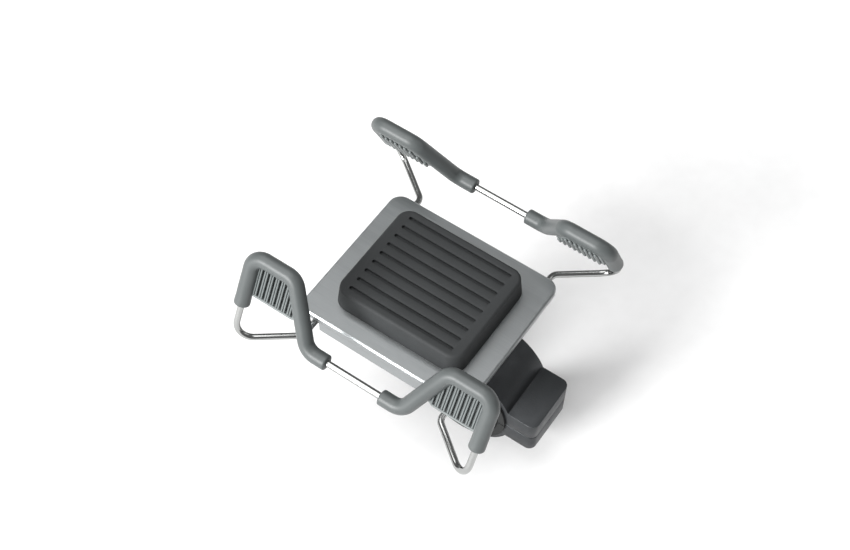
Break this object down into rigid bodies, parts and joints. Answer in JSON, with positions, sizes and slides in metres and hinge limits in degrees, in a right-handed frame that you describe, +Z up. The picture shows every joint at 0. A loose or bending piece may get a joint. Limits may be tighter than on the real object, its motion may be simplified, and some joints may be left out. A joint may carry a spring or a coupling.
{
  "type": "phone handlebar mount",
  "caption": "Handlebar phone holder: sprung wire arms with rubber sleeves and ribbed pads slide out of a flat base that swivels on a bar clamp.",
  "frame": {"origin": "on the axis of the handlebar, midway along the clamp", "axes": "+X along the handlebar to the rider's right, +Y forward, +Z up, square to the phone's screen"},
  "size_m": [0.1016, 0.1067, 0.0834],
  "materials": {
    "stainless_wire": "drawn stainless steel wire, polished",
    "sleeve_rubber": "moulded silicone rubber, satin grey",
    "pad_rubber": "moulded rubber, ribbed, satin grey",
    "brushed_aluminium": "brushed along its length, clear anodised",
    "rest_rubber": "moulded solid rubber, matt dark grey",
    "housing_plastic": "glass-filled nylon, moulded, black",
    "screw_steel": "black oxide steel",
    "bush_plastic": "natural acetal, turned",
    "spring_steel": "bright spring steel",
    "collar_brass": "turned brass",
    "clamp_aluminium": "bead blasted, black anodised",
    "liner_rubber": "moulded rubber, matt black"
  },
  "bodies": {
    "clamp": {"clamp_arm": "clamp_aluminium", "clamp_cap": "clamp_aluminium", "cap_screws": "screw_steel", "liner_upper": "liner_rubber", "liner_lower": "liner_rubber", "swivel_bolt": "screw_steel", "friction_washer": "bush_plastic", "wave_washer": "spring_steel"},
    "base": {"base_plate": "brushed_aluminium", "base_housing": "housing_plastic", "housing_screws": "screw_steel", "rest_pad": "rest_rubber", "bush_left_front": "bush_plastic", "bush_left_rear": "bush_plastic", "bush_right_front": "bush_plastic", "bush_right_rear": "bush_plastic"},
    "left_arm": {"wire_arm_left": "stainless_wire", "sleeve_left_front": "sleeve_rubber", "sleeve_left_rear": "sleeve_rubber", "pad_left_front": "pad_rubber", "pad_left_rear": "pad_rubber", "collar_left_front": "collar_brass", "collar_left_rear": "collar_brass", "spring_left_front": "spring_steel", "spring_left_rear": "spring_steel"},
    "right_arm": {"wire_arm_right": "stainless_wire", "sleeve_right_front": "sleeve_rubber", "sleeve_right_rear": "sleeve_rubber", "pad_right_front": "pad_rubber", "pad_right_rear": "pad_rubber", "collar_right_front": "collar_brass", "collar_right_rear": "collar_brass", "spring_right_front": "spring_steel", "spring_right_rear": "spring_steel"}
  },
  "joints": [
    {"name": "base_swivel", "type": "hinge", "parent": "clamp", "child": "base", "pos_m": [0, 0.024, 0.022], "axis": [0, 0, 1], "continuous": true},
    {"name": "left_arm_slide", "type": "slide", "parent": "base", "child": "left_arm", "axis": [-1, 0, 0], "range_m": [-0.0065, 0.008], "stiffness_N_per_m": 400, "springref_m": -0.03, "deforming": ["spring_left_front", "spring_left_rear"]},
    {"name": "right_arm_slide", "type": "slide", "parent": "base", "child": "right_arm", "axis": [1, 0, 0], "range_m": [-0.0065, 0.008], "stiffness_N_per_m": 400, "springref_m": -0.03, "deforming": ["spring_right_front", "spring_right_rear"]}
  ]
}
